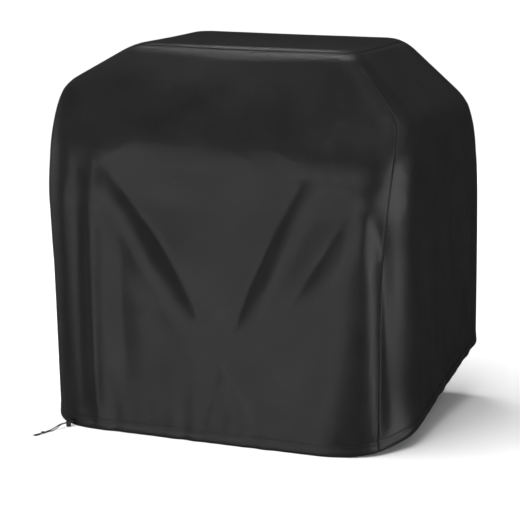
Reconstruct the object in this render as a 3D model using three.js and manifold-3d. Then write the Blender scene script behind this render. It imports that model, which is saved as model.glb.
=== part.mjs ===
// A fabric cover for a barbecue cart: a four-sided skirt with a hipped top, open underneath. A drawcord runs
// in a casing round the hem and leaves it through two eyelets at the front left corner, where a spring cord
// lock grips it.
// Millimetres, +Z up, front towards -Y. The origin is on the ground, under the middle of the cover.
import * as THREE from "three";
import { mergeVertices } from "three/addons/utils/BufferGeometryUtils.js";
import Module from "manifold-3d";

const wasm = await Module();
wasm.setup();

// Driving dimensions of the outside. A level is one outline of the cover, as a rounded rectangle, with
// the radius of each corner anticlockwise from the front left.
const LEVELS = [
  { z: 0, halfWidth: 500, front: -366, back: 366, radii: [165, 215, 50, 50] },
  { z: 700, halfWidth: 502, front: -366, back: 353, radii: [115, 115, 65, 65] },
  { z: 885, halfWidth: 490, front: -267, back: 332, radii: [60, 60, 77, 77] },
  { z: 1000, halfWidth: 308, front: -161, back: 263, radii: [30, 30, 30, 30] },
];
const [HEM, WAIST, SHOULDER, TOP] = LEVELS;
const HEM_LIFT = 165; // how far the hem rides up at the back right corner
const HEM_LEVEL_STRIP = 20; // the front and left edges stay level over this width
const SHOULDER_DROP = { depth: 55, start: -100, end: 400 }; // sinks to the right between these places
const CORNER_STEPS = 6; // facets in each rounded corner, an even number, because a seam runs up its middle
const SKIN = 1.2; // thickness of a fabric panel, with its coating and its creases
const GAP = 0.3; // clearance between sewn pieces
const SEAM_STEP = 0.02; // the same clearance along the outline, as a share of one corner facet

// Hem casing: a strip folded into a U, open at the top, where the panels' lower edges are sewn in.
const CASING = { height: 30, wall: 1.5, depth: 12, fold: 3 };
const PANEL_FOOT = 19; // height of a panel's lower edge inside the casing

// Seam bindings, on the inside.
const BINDING = { thickness: 1, reach: 0.4, foot: 34, head: 984 };
const TOP_BINDING = { inset: 4, width: 12, thickness: 1.2 };

// Drawcord and its way out.
const CORD_RADIUS = 1.4;
const CORD_SIDES = 8;
const CORD_HEIGHT = 10.9; // height of the cord in the casing, the eyelets and the lock
const CORD_DEPTH = 5.5; // how far inside the cover's outline the cord runs in its casing
const EXIT_STATION = 1.5; // the facet of the front left corner that holds the eyelets
const EYELET = { spacing: 12, hole: 2.4, barrel: 3.1, flange: 4.8, flangeThickness: 0.9 };

// Cord lock: an upright barrel with a plunger pushed in from above.
const LOCK = {
  reach: 20,
  radius: 6.6,
  foot: 0.5,
  wall: 1.8,
  bore: 4.7,
  travel: 3.2,
  slotWidth: 7,
  slotHeight: 3.8,
  bridge: 1.6,
};
const PLUNGER = { radius: 4.4, buttonRadius: 5.6, buttonHeight: 2.5, slotWidth: 6.9, bottomWall: 1.5 };
const SPRING = { radius: 3, wire: 0.35, turns: 4, stepsPerTurn: 12, sides: 6 };

const COLOURS = { fabric: 0x1d1d1f, cord: 0x0c0c0d, metal: 0x2a2a2c, plastic: 0x101011, steel: 0x9a9ca0 };

const cover = new THREE.Group();

function addPiece(name, geometry, colour, roughness = 0.6, metalness = 0) {
  const material = new THREE.MeshStandardMaterial({ color: colour, roughness, metalness });
  const mesh = new THREE.Mesh(geometry, material);
  mesh.name = name;
  cover.add(mesh);
  return mesh;
}

// Solids ------------------------------------------------------------------------------------------------

function toSolid(geometry) {
  const plain = geometry.clone();
  plain.deleteAttribute("normal");
  plain.deleteAttribute("uv");
  const merged = mergeVertices(plain, 1e-4);
  const mesh = new wasm.Mesh({
    numProp: 3,
    vertProperties: merged.attributes.position.array,
    triVerts: new Uint32Array(merged.index.array),
  });
  return new wasm.Manifold(mesh);
}

function toGeometry(solid) {
  const mesh = solid.getMesh();
  const geometry = new THREE.BufferGeometry();
  geometry.setAttribute("position", new THREE.BufferAttribute(mesh.vertProperties, 3));
  geometry.setIndex(new THREE.BufferAttribute(mesh.triVerts, 1));
  geometry.computeVertexNormals();
  return geometry;
}

function cut(geometry, ...tools) {
  return toGeometry(tools.reduce((solid, tool) => solid.subtract(toSolid(tool)), toSolid(geometry)));
}

// A closed solid between an outside and an inside grid of points. Rows run up, and columns run anticlockwise.
function skinSolid(outside, inside) {
  const rows = outside.length;
  const columns = outside[0].length;
  const size = rows * columns;
  const points = [...outside.flat(), ...inside.flat()];
  const index = [];
  const quad = (a, b, c, d) => index.push(a, b, c, a, c, d);
  for (let row = 0; row < rows - 1; row++) {
    for (let column = 0; column < columns - 1; column++) {
      const corner = row * columns + column;
      quad(corner, corner + 1, corner + columns + 1, corner + columns);
      quad(corner + size, corner + size + columns, corner + size + columns + 1, corner + size + 1);
    }
  }
  for (let column = 0; column < columns - 1; column++) {
    const head = (rows - 1) * columns + column;
    quad(column + size, column + size + 1, column + 1, column);
    quad(head, head + 1, head + size + 1, head + size);
  }
  for (let row = 0; row < rows - 1; row++) {
    const start = row * columns;
    const end = start + columns - 1;
    quad(start, start + columns, start + columns + size, start + size);
    quad(end, end + size, end + columns + size, end + columns);
  }
  const geometry = new THREE.BufferGeometry().setFromPoints(points);
  geometry.setIndex(index);
  geometry.computeVertexNormals();
  return geometry;
}

// A round cord along a smooth curve through the given points.
function cordAlong(points, radius, steps, sides) {
  const section = new THREE.Shape();
  for (let side = 0; side < sides; side++) {
    const angle = (2 * Math.PI * side) / sides;
    const x = radius * Math.cos(angle);
    const y = radius * Math.sin(angle);
    if (side === 0) section.moveTo(x, y);
    else section.lineTo(x, y);
  }
  const path = new THREE.CatmullRomCurve3(points);
  return new THREE.ExtrudeGeometry(section, { steps, bevelEnabled: false, extrudePath: path });
}

// A turned solid about +Z. The profile is a list of [radius, height] and closes on itself.
function turned(profile, segments = 32) {
  const closed = [...profile, profile[0]].map(([radius, height]) => new THREE.Vector2(radius, height));
  return new THREE.LatheGeometry(closed, segments).rotateX(Math.PI / 2);
}

// The cover's surface -----------------------------------------------------------------------------------

// Stations count the corner facets anticlockwise from the middle of the front left corner. Each corner has
// CORNER_STEPS facets and each side one straight stretch, so a side spans CORNER_STEPS + 1 stations.
const SIDE_STATIONS = CORNER_STEPS + 1;
const SIDES = ["front", "right", "back", "left"];

function outline({ halfWidth, front, back, radii }, depth) {
  const corners = [
    [-halfWidth + radii[0], front + radii[0], 225],
    [halfWidth - radii[1], front + radii[1], 315],
    [halfWidth - radii[2], back - radii[2], 45],
    [-halfWidth + radii[3], back - radii[3], 135],
  ];
  const half = CORNER_STEPS / 2;
  const points = [];
  const addCorner = (corner, from, to) => {
    const [x, y, middle] = corners[corner];
    const r = radii[corner] - depth;
    for (let step = from; step <= to; step++) {
      const angle = THREE.MathUtils.degToRad(middle + (step * 90) / CORNER_STEPS);
      points.push([x + r * Math.cos(angle), y + r * Math.sin(angle)]);
    }
  };
  addCorner(0, 0, half);
  for (let corner = 1; corner < corners.length; corner++) addCorner(corner, -half, half);
  addCorner(0, -half, 0);
  return points;
}

// How far a point of a level is above or below the level's own height.
function rise(level, x, y) {
  if (level === SHOULDER) {
    const { depth, start, end } = SHOULDER_DROP;
    return -depth * THREE.MathUtils.clamp((x - start) / (end - start), 0, 1);
  }
  if (level !== HEM) return 0;
  const left = -HEM.halfWidth + HEM_LEVEL_STRIP;
  const near = HEM.front + HEM_LEVEL_STRIP;
  const across = THREE.MathUtils.clamp((x - left) / (HEM.halfWidth - left), 0, 1);
  const along = THREE.MathUtils.clamp((y - near) / (HEM.back - near), 0, 1);
  return HEM_LIFT * across * along;
}

function levelPoint(level, station, depth) {
  const points = outline(level, depth);
  const start = Math.min(Math.floor(station), points.length - 2);
  const share = station - start;
  const x = points[start][0] + share * (points[start + 1][0] - points[start][0]);
  const y = points[start][1] + share * (points[start + 1][1] - points[start][1]);
  return new THREE.Vector3(x, y, level.z + rise(level, x, y));
}

// A point of the cover's surface, on the straight line between the two levels that its height lies between.
function surfacePoint(station, z, depth) {
  const above = Math.max(1, LEVELS.findIndex((level) => level.z >= z));
  const [low, high] = [LEVELS[above - 1], LEVELS[above]];
  const share = (z - low.z) / (high.z - low.z);
  return levelPoint(low, station, depth).lerp(levelPoint(high, station, depth), share);
}

function stationsOfSide(side) {
  const first = side * SIDE_STATIONS;
  const inner = Array.from({ length: SIDE_STATIONS - 1 }, (_, step) => first + step + 1);
  return [first + SEAM_STEP, ...inner, first + SIDE_STATIONS - SEAM_STEP];
}

// Fabric ------------------------------------------------------------------------------------------------

function panel(side) {
  const stations = stationsOfSide(side);
  const heights = [PANEL_FOOT, WAIST.z, SHOULDER.z, TOP.z - SKIN - GAP];
  const grid = (depth) => heights.map((z) => stations.map((station) => surfacePoint(station, z, depth)));
  return skinSolid(grid(0), grid(SKIN));
}

function topOutline(inset) {
  const shape = new THREE.Shape();
  outline(TOP, inset)
    .slice(0, -1)
    .forEach(([x, y], i) => (i === 0 ? shape.moveTo(x, y) : shape.lineTo(x, y)));
  return shape;
}

function topPanel() {
  const flat = new THREE.ExtrudeGeometry(topOutline(0), { depth: SKIN, bevelEnabled: false });
  return flat.translate(0, 0, TOP.z - SKIN);
}

// The tape under the top seam is the face that the lid touches.
function topBinding() {
  const { inset, width, thickness } = TOP_BINDING;
  const ring = topOutline(inset);
  ring.holes.push(topOutline(inset + width));
  const flat = new THREE.ExtrudeGeometry(ring, { depth: thickness, bevelEnabled: false });
  return flat.translate(0, 0, TOP.z - SKIN - GAP - thickness);
}

function cornerBinding(corner) {
  const middle = corner * SIDE_STATIONS;
  const heights = [BINDING.foot, WAIST.z, SHOULDER.z, BINDING.head];
  const wrap = (station) => (station < 0 ? station + SIDES.length * SIDE_STATIONS : station);
  const stations = [middle - BINDING.reach, middle, middle + BINDING.reach];
  const row = (z, depth) => stations.map((station) => surfacePoint(wrap(station), z, depth));
  const grid = (depth) => heights.map((z) => row(z, depth));
  return skinSolid(grid(SKIN + GAP), grid(SKIN + GAP + BINDING.thickness));
}

function casing(side) {
  const { height, wall, depth, fold } = CASING;
  const outer = -GAP - wall;
  const inner = outer + depth;
  const outside = [
    [outer, height],
    [outer, fold],
    [outer + fold, 0],
    [inner - fold, 0],
    [inner, fold],
    [inner, height],
  ];
  const inside = [
    [outer + wall, height],
    [outer + wall, fold + wall / 2],
    [outer + fold + wall / 2, wall],
    [inner - fold - wall / 2, wall],
    [inner - wall, fold + wall / 2],
    [inner - wall, height],
  ];
  const stations = stationsOfSide(side);
  const row = ([depth, z]) => stations.map((station) => surfacePoint(station, z, depth));
  const grid = (path) => path.map(row).reverse();
  return skinSolid(grid(outside), grid(inside));
}

// The cord's way out: a local frame on one flat facet of the front left corner --------------------------

const facetStart = surfacePoint(Math.floor(EXIT_STATION), CORD_HEIGHT, 0);
const facetEnd = surfacePoint(Math.ceil(EXIT_STATION), CORD_HEIGHT, 0);
const exitCentre = surfacePoint(EXIT_STATION, CORD_HEIGHT, 0);
const exitAcross = facetEnd.clone().sub(facetStart).setZ(0).normalize();
const exitOut = new THREE.Vector3(exitAcross.y, -exitAcross.x, 0);

// A point given by its distance out of the hem, across the facet and above the ground.
function exitPoint(out, across, z) {
  const point = exitCentre.clone().addScaledVector(exitOut, out).addScaledVector(exitAcross, across);
  return point.setZ(z);
}

// Turns a piece made about +Z so that it points out of the hem, and puts it at a place on the facet.
function facingOut(geometry, out, across, z) {
  const turn = new THREE.Matrix4().makeBasis(exitAcross, new THREE.Vector3(0, 0, 1), exitOut);
  turn.setPosition(exitPoint(out, across, z));
  return geometry.applyMatrix4(turn);
}

// Moves an upright piece, made about +Z with +X across the cord, to a place on the cord's line.
function onCord(geometry, out) {
  const up = new THREE.Vector3(0, 0, 1);
  const turn = new THREE.Matrix4().makeBasis(exitAcross, exitOut.clone().negate(), up);
  turn.setPosition(exitPoint(out, 0, 0));
  return geometry.applyMatrix4(turn);
}

function eyelet(across) {
  const { hole, barrel, flange, flangeThickness } = EYELET;
  const back = -GAP - CASING.wall;
  const face = CASING.wall + 2 * GAP;
  const rim = face + flangeThickness;
  const tail = back + CASING.wall - flangeThickness;
  const profile = [
    [hole, tail],
    [barrel, tail],
    [barrel, face],
    [flange, face],
    [flange - 0.5, rim],
    [hole + 0.4, rim],
    [hole, rim - 0.4],
  ];
  return facingOut(turned(profile), 0, across, CORD_HEIGHT);
}

function eyeletHole(across) {
  const length = 2 * CASING.wall + 2;
  const hole = new THREE.CylinderGeometry(EYELET.barrel + GAP, EYELET.barrel + GAP, length, 32);
  hole.rotateX(Math.PI / 2);
  return facingOut(hole, CASING.wall / 2 + GAP, across, CORD_HEIGHT);
}

function eyeletWasher(across) {
  const { barrel, flange, flangeThickness } = EYELET;
  const hole = barrel + GAP;
  const profile = [
    [hole, 0],
    [flange, 0],
    [flange, flangeThickness],
    [hole, flangeThickness],
  ];
  const behind = -GAP / 2 - flangeThickness;
  return facingOut(turned(profile), behind, across, CORD_HEIGHT);
}

// Drawcord ----------------------------------------------------------------------------------------------

// Half of the way that the two strands take, as distance out of the hem, distance across and height.
const STRAND_ROUTE = [
  [-5.5, 12, 10.9],
  [-5, 9, 10.9],
  [-2.6, 6.6, 10.9],
  [1, 6, 10.9],
  [5, 5.2, 10.9],
  [9, 3, 10.9],
  [13, 1.7, 10.9],
  [20, 1.7, 10.9],
  [30, 1.7, 10.9],
  [40, 1.7, 10.9],
  [47, 2, 10.2],
  [56, 3.2, 7.6],
  [66, 4.4, 4.2],
  [76, 4.6, 2],
  [86, 3.6, 1.5],
  [97, 2.2, 1.5],
  [108, 1.7, 1.5],
];
// The strands lie in a slight bow on the ground, which moves them sideways by this much at that reach.
const BOW = { start: 40, end: 122, sideways: 7 };
const CORD_END_GAP = 0.8; // between a strand's end in the casing and the cord that goes round the hem
const KNOT = { reach: 113.5, length: 11, width: 8, height: 7 };
const TAIL_ROUTE = [
  [119.5, 1.8, 2.2],
  [125, 2.4, 1.6],
  [131, 3.4, 1.5],
  [137, 3.6, 1.5],
  [142, 3.2, 1.5],
];

function bow(out) {
  const share = THREE.MathUtils.clamp((out - BOW.start) / (BOW.end - BOW.start), 0, 1);
  return BOW.sideways * share * share;
}

function routeOnSide(route, side) {
  return route.map(([out, across, z]) => exitPoint(out, side * across + bow(out), z));
}

function cordInHem() {
  const along = (station) => surfacePoint(station, CORD_HEIGHT, CORD_DEPTH);
  const before = Math.floor(EXIT_STATION);
  const after = Math.ceil(EXIT_STATION);
  const end = (STRAND_ROUTE[0][1] + CORD_END_GAP) / along(before).distanceTo(along(after));
  const last = SIDES.length * SIDE_STATIONS;
  const stations = [EXIT_STATION + end];
  for (let station = after; station <= last; station++) stations.push(station);
  stations.push(before, EXIT_STATION - end);
  return sweptAlong(stations.map(along), CORD_RADIUS, CORD_SIDES);
}

// A round cord along straight stretches in a nearly level plane, mitred where they meet.
function sweptAlong(points, radius, sides) {
  const up = new THREE.Vector3(0, 0, 1);
  const rings = points.map((point, i) => {
    const before = points[Math.max(0, i - 1)];
    const after = points[Math.min(points.length - 1, i + 1)];
    const direction = after.clone().sub(before).normalize();
    const sideways = new THREE.Vector3().crossVectors(up, direction).normalize();
    return Array.from({ length: sides }, (_, side) => {
      const angle = (2 * Math.PI * side) / sides;
      const level = radius * Math.cos(angle);
      return point.clone().addScaledVector(sideways, level).setZ(point.z + radius * Math.sin(angle));
    });
  });
  const index = [];
  const last = (rings.length - 1) * sides;
  for (let ring = 0; ring < rings.length - 1; ring++) {
    for (let side = 0; side < sides; side++) {
      const a = ring * sides + side;
      const b = ring * sides + ((side + 1) % sides);
      index.push(a, b, b + sides, a, b + sides, a + sides);
    }
  }
  for (let side = 1; side < sides - 1; side++) {
    index.push(0, side + 1, side);
    index.push(last, last + side, last + side + 1);
  }
  const geometry = new THREE.BufferGeometry().setFromPoints(rings.flat());
  geometry.setIndex(index);
  geometry.computeVertexNormals();
  return geometry;
}

function strand(side) {
  const route = routeOnSide(STRAND_ROUTE, side);
  return cordAlong(route, CORD_RADIUS, 30, CORD_SIDES);
}

function knot() {
  const lump = new THREE.SphereGeometry(0.5, 16, 12);
  lump.scale(KNOT.width, KNOT.length, KNOT.height);
  lump.translate(bow(KNOT.reach), 0, KNOT.height / 2 + 0.1);
  return onCord(lump, KNOT.reach);
}

function tail(side) {
  return cordAlong(routeOnSide(TAIL_ROUTE, side), CORD_RADIUS, 8, CORD_SIDES);
}

// Cord lock ---------------------------------------------------------------------------------------------

const lockTop = CORD_HEIGHT + LOCK.slotHeight / 2 + LOCK.bridge;
const lockBoreFloor = LOCK.foot + LOCK.wall;
const plungerFoot = CORD_HEIGHT - LOCK.slotHeight / 2 + 0.2 - PLUNGER.bottomWall;
const buttonFoot = lockTop + LOCK.travel + GAP;

function crossSlot(width, low, high, length) {
  const slot = new THREE.BoxGeometry(width, length, high - low);
  return slot.translate(0, 0, (low + high) / 2);
}

function lockBody() {
  const edge = 1;
  const profile = [
    [0, LOCK.foot],
    [LOCK.radius - edge, LOCK.foot],
    [LOCK.radius, LOCK.foot + edge],
    [LOCK.radius, lockTop - edge],
    [LOCK.radius - edge, lockTop],
    [LOCK.bore, lockTop],
    [LOCK.bore, lockBoreFloor],
    [0, lockBoreFloor],
  ];
  const low = CORD_HEIGHT - LOCK.slotHeight / 2;
  const high = CORD_HEIGHT + LOCK.slotHeight / 2;
  const slot = crossSlot(LOCK.slotWidth, low, high, 3 * LOCK.radius);
  return onCord(cut(turned(profile), slot), LOCK.reach);
}

function plunger() {
  const edge = 0.8;
  const buttonTop = buttonFoot + PLUNGER.buttonHeight;
  const profile = [
    [0, plungerFoot],
    [PLUNGER.radius, plungerFoot],
    [PLUNGER.radius, buttonFoot],
    [PLUNGER.buttonRadius, buttonFoot],
    [PLUNGER.buttonRadius, buttonTop - edge],
    [PLUNGER.buttonRadius - edge, buttonTop],
    [0, buttonTop],
  ];
  const low = plungerFoot + PLUNGER.bottomWall;
  const high = CORD_HEIGHT + LOCK.slotHeight / 2 - 0.2 + LOCK.travel;
  const slot = crossSlot(PLUNGER.slotWidth, low, high, 3 * PLUNGER.radius);
  return onCord(cut(turned(profile), slot), LOCK.reach);
}

function spring() {
  const { radius, wire, turns, stepsPerTurn, sides } = SPRING;
  const low = lockBoreFloor + GAP + wire;
  const high = plungerFoot - GAP - wire;
  const steps = turns * stepsPerTurn;
  const points = Array.from({ length: steps + 1 }, (_, step) => {
    const angle = (2 * Math.PI * step) / stepsPerTurn;
    const height = low + ((high - low) * step) / steps;
    return new THREE.Vector3(radius * Math.cos(angle), radius * Math.sin(angle), height);
  });
  return onCord(cordAlong(points, wire, 2 * steps, sides), LOCK.reach);
}

// Assembly ----------------------------------------------------------------------------------------------

SIDES.forEach((name, side) => addPiece(`${name}_panel`, panel(side), COLOURS.fabric));
addPiece("top_panel", topPanel(), COLOURS.fabric);

const eyeletPlaces = [-EYELET.spacing / 2, EYELET.spacing / 2];
SIDES.forEach((name, side) => {
  const plain = casing(side);
  const pierced = name === "front" ? cut(plain, ...eyeletPlaces.map(eyeletHole)) : plain;
  addPiece(`${name}_hem_casing`, pierced, COLOURS.fabric);
});

["front_left", "front_right", "back_right", "back_left"].forEach((name, corner) =>
  addPiece(`${name}_seam_binding`, cornerBinding(corner), COLOURS.fabric, 0.8),
);
addPiece("top_seam_binding", topBinding(), COLOURS.fabric, 0.8);

addPiece("drawcord_in_hem", cordInHem(), COLOURS.cord, 0.9);
["left", "right"].forEach((name, i) => {
  const side = i === 0 ? -1 : 1;
  addPiece(`${name}_eyelet`, eyelet(eyeletPlaces[i]), COLOURS.metal, 0.4, 1);
  addPiece(`${name}_eyelet_washer`, eyeletWasher(eyeletPlaces[i]), COLOURS.metal, 0.4, 1);
  addPiece(`${name}_cord_strand`, strand(side), COLOURS.cord, 0.9);
  addPiece(`${name}_cord_tail`, tail(side), COLOURS.cord, 0.9);
});
addPiece("cord_knot", knot(), COLOURS.cord, 0.9);

addPiece("cord_lock_body", lockBody(), COLOURS.plastic, 0.45);
addPiece("cord_lock_plunger", plunger(), COLOURS.plastic, 0.45);
addPiece("cord_lock_spring", spring(), COLOURS.steel, 0.3, 1);

export default cover;
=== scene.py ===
"""Looks of the grill cover: draped fabric panels with folds, seams and stitching, and the hem's cord lock.

Metres, +Z up, the front faces -Y. The cover's surface is one function of two parameters, and every fabric
piece, binding and stitch row is made on it: "around" runs from 0 to 4 anticlockwise from the front left seam,
one unit to a panel, and "up" runs from 0 at the hem to 3 at the top panel's edge, one unit to a level.
"""

import math

import bmesh
import bpy
import numpy as np
from mathutils import Matrix, Vector


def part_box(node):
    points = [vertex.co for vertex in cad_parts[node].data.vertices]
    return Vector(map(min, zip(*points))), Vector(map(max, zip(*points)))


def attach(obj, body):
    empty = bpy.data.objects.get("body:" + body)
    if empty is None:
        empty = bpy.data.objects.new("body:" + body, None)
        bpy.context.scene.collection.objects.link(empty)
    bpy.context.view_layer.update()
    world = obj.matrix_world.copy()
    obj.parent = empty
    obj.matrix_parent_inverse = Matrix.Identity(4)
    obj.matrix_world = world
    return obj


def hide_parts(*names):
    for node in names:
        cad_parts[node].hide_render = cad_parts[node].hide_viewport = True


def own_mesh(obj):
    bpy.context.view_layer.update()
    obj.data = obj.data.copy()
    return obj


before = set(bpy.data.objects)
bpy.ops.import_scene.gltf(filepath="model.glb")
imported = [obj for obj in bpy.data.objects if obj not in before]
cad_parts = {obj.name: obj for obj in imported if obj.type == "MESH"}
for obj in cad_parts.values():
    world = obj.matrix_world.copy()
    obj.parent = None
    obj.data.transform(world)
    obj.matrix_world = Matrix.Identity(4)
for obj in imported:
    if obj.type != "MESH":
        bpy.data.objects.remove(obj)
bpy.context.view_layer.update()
scene = bpy.context.scene

# ---- Driving dimensions --------------------------------------------------------------------------

# The cover's outlines, each a rounded rectangle: height, half width, front, back and the radius of each
# corner anticlockwise from the front left.
HEM = (0.0, 0.500, -0.366, 0.366, (0.165, 0.215, 0.050, 0.050))
WAIST = (0.700, 0.502, -0.366, 0.353, (0.115, 0.115, 0.065, 0.065))
SHOULDER = (0.885, 0.490, -0.267, 0.332, (0.060, 0.100, 0.077, 0.077))
TOP = (1.000, 0.308, -0.161, 0.263, (0.040, 0.060, 0.040, 0.040))
CROWN = (1.000, 0.188, -0.041, 0.143, (0.020, 0.020, 0.020, 0.020))
LEVELS = (HEM, WAIST, SHOULDER, TOP, CROWN)
ROUNDING = (0.0, 0.120, 0.050, 0.040, 0.0)  # how far the cloth rounds off each level's crease

CORNER_SHARE = 0.17  # share of a panel's width that each of its rounded corners takes
HEM_LIFT = 0.165  # how far the hem rides up at the back right corner
LEVEL_STRIP = 0.020  # the hem stays level over this width at the front and the left
SHOULDER_DROP = (0.055, -0.100, 0.400)  # the shoulder sinks this far to the right, between these places
CLOTH = 0.0008
FLOOR_GAP = 0.0006
FOOT_UP = 0.019 / WAIST[0]  # where a panel's lower edge ends inside the hem casing

# The cord leaves the front left corner at this angle round the corner's centre.
EXIT_ANGLE = math.radians(247.5)
CORD_RADIUS = 0.0014
CORD_HEIGHT = 0.0109
EYELET_OFFSET = 0.006
LOCK_REACH = 0.020

# Half of the way that the two strands take: distance out of the hem, distance across, and height.
STRAND_ROUTE = (
    (-0.0055, 0.0120, 0.0109),
    (-0.0050, 0.0090, 0.0109),
    (-0.0026, 0.0066, 0.0109),
    (0.0010, 0.0060, 0.0109),
    (0.0050, 0.0052, 0.0109),
    (0.0090, 0.0030, 0.0109),
    (0.0130, 0.0017, 0.0109),
    (0.0200, 0.0017, 0.0109),
    (0.0300, 0.0017, 0.0109),
    (0.0400, 0.0017, 0.0109),
    (0.0470, 0.0020, 0.0102),
    (0.0560, 0.0032, 0.0076),
    (0.0660, 0.0044, 0.0042),
    (0.0760, 0.0046, 0.0020),
    (0.0860, 0.0036, 0.0015),
    (0.0970, 0.0022, 0.0015),
    (0.1080, 0.0017, 0.0015),
)
TAIL_ROUTE = (
    (0.1195, 0.0018, 0.0022),
    (0.1250, 0.0024, 0.0016),
    (0.1310, 0.0034, 0.0015),
    (0.1370, 0.0036, 0.0015),
    (0.1420, 0.0032, 0.0015),
)
BOW_START = 0.040
BOW_END = 0.122
BOW = 0.007
KNOT_REACH = 0.1135
KNOT_HEIGHT = 0.0035

SPRING_RADIUS = 0.0030
SPRING_WIRE = 0.00035
SPRING_TURNS = 4
SPRING_STEPS = 24  # points of the coil's path in one turn

# ---- Camera --------------------------------------------------------------------------------------

CAMERA_AZIMUTH = math.radians(22.8)
CAMERA_ELEVATION = math.radians(11.6)
CAMERA_DISTANCE = 5.39
CAMERA_TARGET = Vector((-0.007, -0.0115, 0.413))
CAMERA_LENS = 138.5


def make_camera():
    back = Vector(
        (
            math.sin(CAMERA_AZIMUTH) * math.cos(CAMERA_ELEVATION),
            -math.cos(CAMERA_AZIMUTH) * math.cos(CAMERA_ELEVATION),
            math.sin(CAMERA_ELEVATION),
        )
    )
    data = bpy.data.cameras.new("camera")
    data.lens = CAMERA_LENS
    data.sensor_width = 36
    data.clip_end = 100
    camera = bpy.data.objects.new("camera", data)
    camera.location = CAMERA_TARGET + back * CAMERA_DISTANCE
    camera.rotation_euler = back.to_track_quat("Z", "Y").to_euler()
    scene.collection.objects.link(camera)
    scene.camera = camera


# ---- Materials -----------------------------------------------------------------------------------

CLOTH_YARN = 0.0006
TAPE_YARN = 0.0009
BRAID_WAVES = 4  # waves of the braid round the cord, in each of its two directions
BRAID_PITCH = 0.003  # length of one of those waves along the cord

class Nodes:
    """A material's node tree, with short calls to add nodes and link them."""

    def __init__(self, name, **inputs):
        self.material = bpy.data.materials.new(name)
        self.material.use_nodes = True
        self.tree = self.material.node_tree
        self.shader = self.tree.nodes["Principled BSDF"]
        for socket, value in inputs.items():
            self.shader.inputs[socket.replace("_", " ")].default_value = value

    def add(self, kind, **settings):
        node = self.tree.nodes.new(kind)
        for key, value in settings.items():
            if hasattr(node, key):
                setattr(node, key, value)
            else:
                node.inputs[key.replace("_", " ")].default_value = value
        return node

    def link(self, source, target):
        self.tree.links.new(source, target)

    def place(self, uv=False):
        """The point's place in metres: on the cloth for uv, and otherwise in the object."""
        return self.add("ShaderNodeTexCoord").outputs["UV" if uv else "Object"]

    def noise(self, scale, place, detail=4.0):
        node = self.add("ShaderNodeTexNoise", Scale=scale, Detail=detail)
        self.link(place, node.inputs["Vector"])
        return node.outputs["Fac"]

    def math(self, operation, a, b=0.0):
        node = self.add("ShaderNodeMath", operation=operation)
        for socket, value in zip(node.inputs, (a, b)):
            if isinstance(value, bpy.types.NodeSocket):
                self.link(value, socket)
            else:
                socket.default_value = value
        return node.outputs[0]

    def ramp(self, factor, low, high, start=0.3, end=0.7):
        """Blends from one value or colour to another as the factor goes from start to end."""
        node = self.add("ShaderNodeValToRGB")
        for element, position, value in zip(node.color_ramp.elements, (start, end), (low, high)):
            element.position = position
            element.color = (*value, 1) if hasattr(value, "__len__") else (value, value, value, 1)
        self.link(factor, node.inputs["Fac"])
        return node.outputs["Color"]

    def bump(self, height, distance, strength=1.0, under=None):
        node = self.add("ShaderNodeBump", Distance=distance, Strength=strength)
        self.link(height, node.inputs["Height"])
        if under is not None:
            self.link(under, node.inputs["Normal"])
        return node.outputs["Normal"]

    def shades(self, factor, low, high, start=0.3, end=0.7):
        """Colours the surface between two greys, each given as its red and green and then its blue."""
        dark, light = (low[0], low[0], low[1]), (high[0], high[0], high[1])
        self.set("Base Color", self.ramp(factor, dark, light, start, end))

    def set(self, socket, source):
        self.link(source, self.shader.inputs[socket])


def weave_height(nodes, place, yarn):
    """Height of a plain weave of that yarn width: each crossing stands up where its neighbours dip."""
    split = nodes.add("ShaderNodeSeparateXYZ")
    nodes.link(place, split.inputs[0])
    turn = math.pi / yarn
    across = nodes.math("SINE", nodes.math("MULTIPLY", split.outputs["X"], turn))
    along = nodes.math("SINE", nodes.math("MULTIPLY", split.outputs["Y"], turn))
    return nodes.math("MULTIPLY", across, along)


def fabric_material():
    """Black coated Oxford cloth: a satin outside with a fine weave, faint mottling and a little dust."""
    nodes = Nodes("cover_fabric", Specular_IOR_Level=0.34, Sheen_Weight=0.02, Sheen_Roughness=0.45)
    cloth = nodes.place(uv=True)
    mottle = nodes.noise(9.0, cloth)
    dust = nodes.noise(160.0, cloth, detail=6.0)
    shade = nodes.ramp(mottle, (0.0080, 0.0080, 0.0085), (0.0112, 0.0112, 0.0117))
    speck = nodes.ramp(dust, (0.0, 0.0, 0.0), (0.006, 0.006, 0.006), 0.55, 0.8)
    colour = nodes.add("ShaderNodeMix", data_type="RGBA", blend_type="ADD")
    colour.inputs["Factor"].default_value = 1.0
    nodes.link(shade, colour.inputs[6])
    nodes.link(speck, colour.inputs[7])
    nodes.set("Base Color", colour.outputs[2])
    nodes.set("Roughness", nodes.ramp(nodes.noise(30.0, cloth), 0.29, 0.36))
    crease = nodes.bump(nodes.noise(14.0, cloth, detail=3.0), 0.0015, 0.2)
    nodes.set("Normal", nodes.bump(weave_height(nodes, cloth, CLOTH_YARN), 0.00008, 0.8, crease))
    return nodes.material


def lining_material():
    """The coated inside of the cloth: duller, a little greyer, with a faint film texture."""
    nodes = Nodes("fabric_inside", Specular_IOR_Level=0.3)
    cloth = nodes.place(uv=True)
    nodes.shades(nodes.noise(12.0, cloth), (0.030, 0.032), (0.042, 0.044))
    nodes.set("Roughness", nodes.ramp(nodes.noise(60.0, cloth), 0.6, 0.72))
    nodes.set("Normal", nodes.bump(weave_height(nodes, cloth, CLOTH_YARN), 0.00005, 0.6))
    return nodes.material


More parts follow.
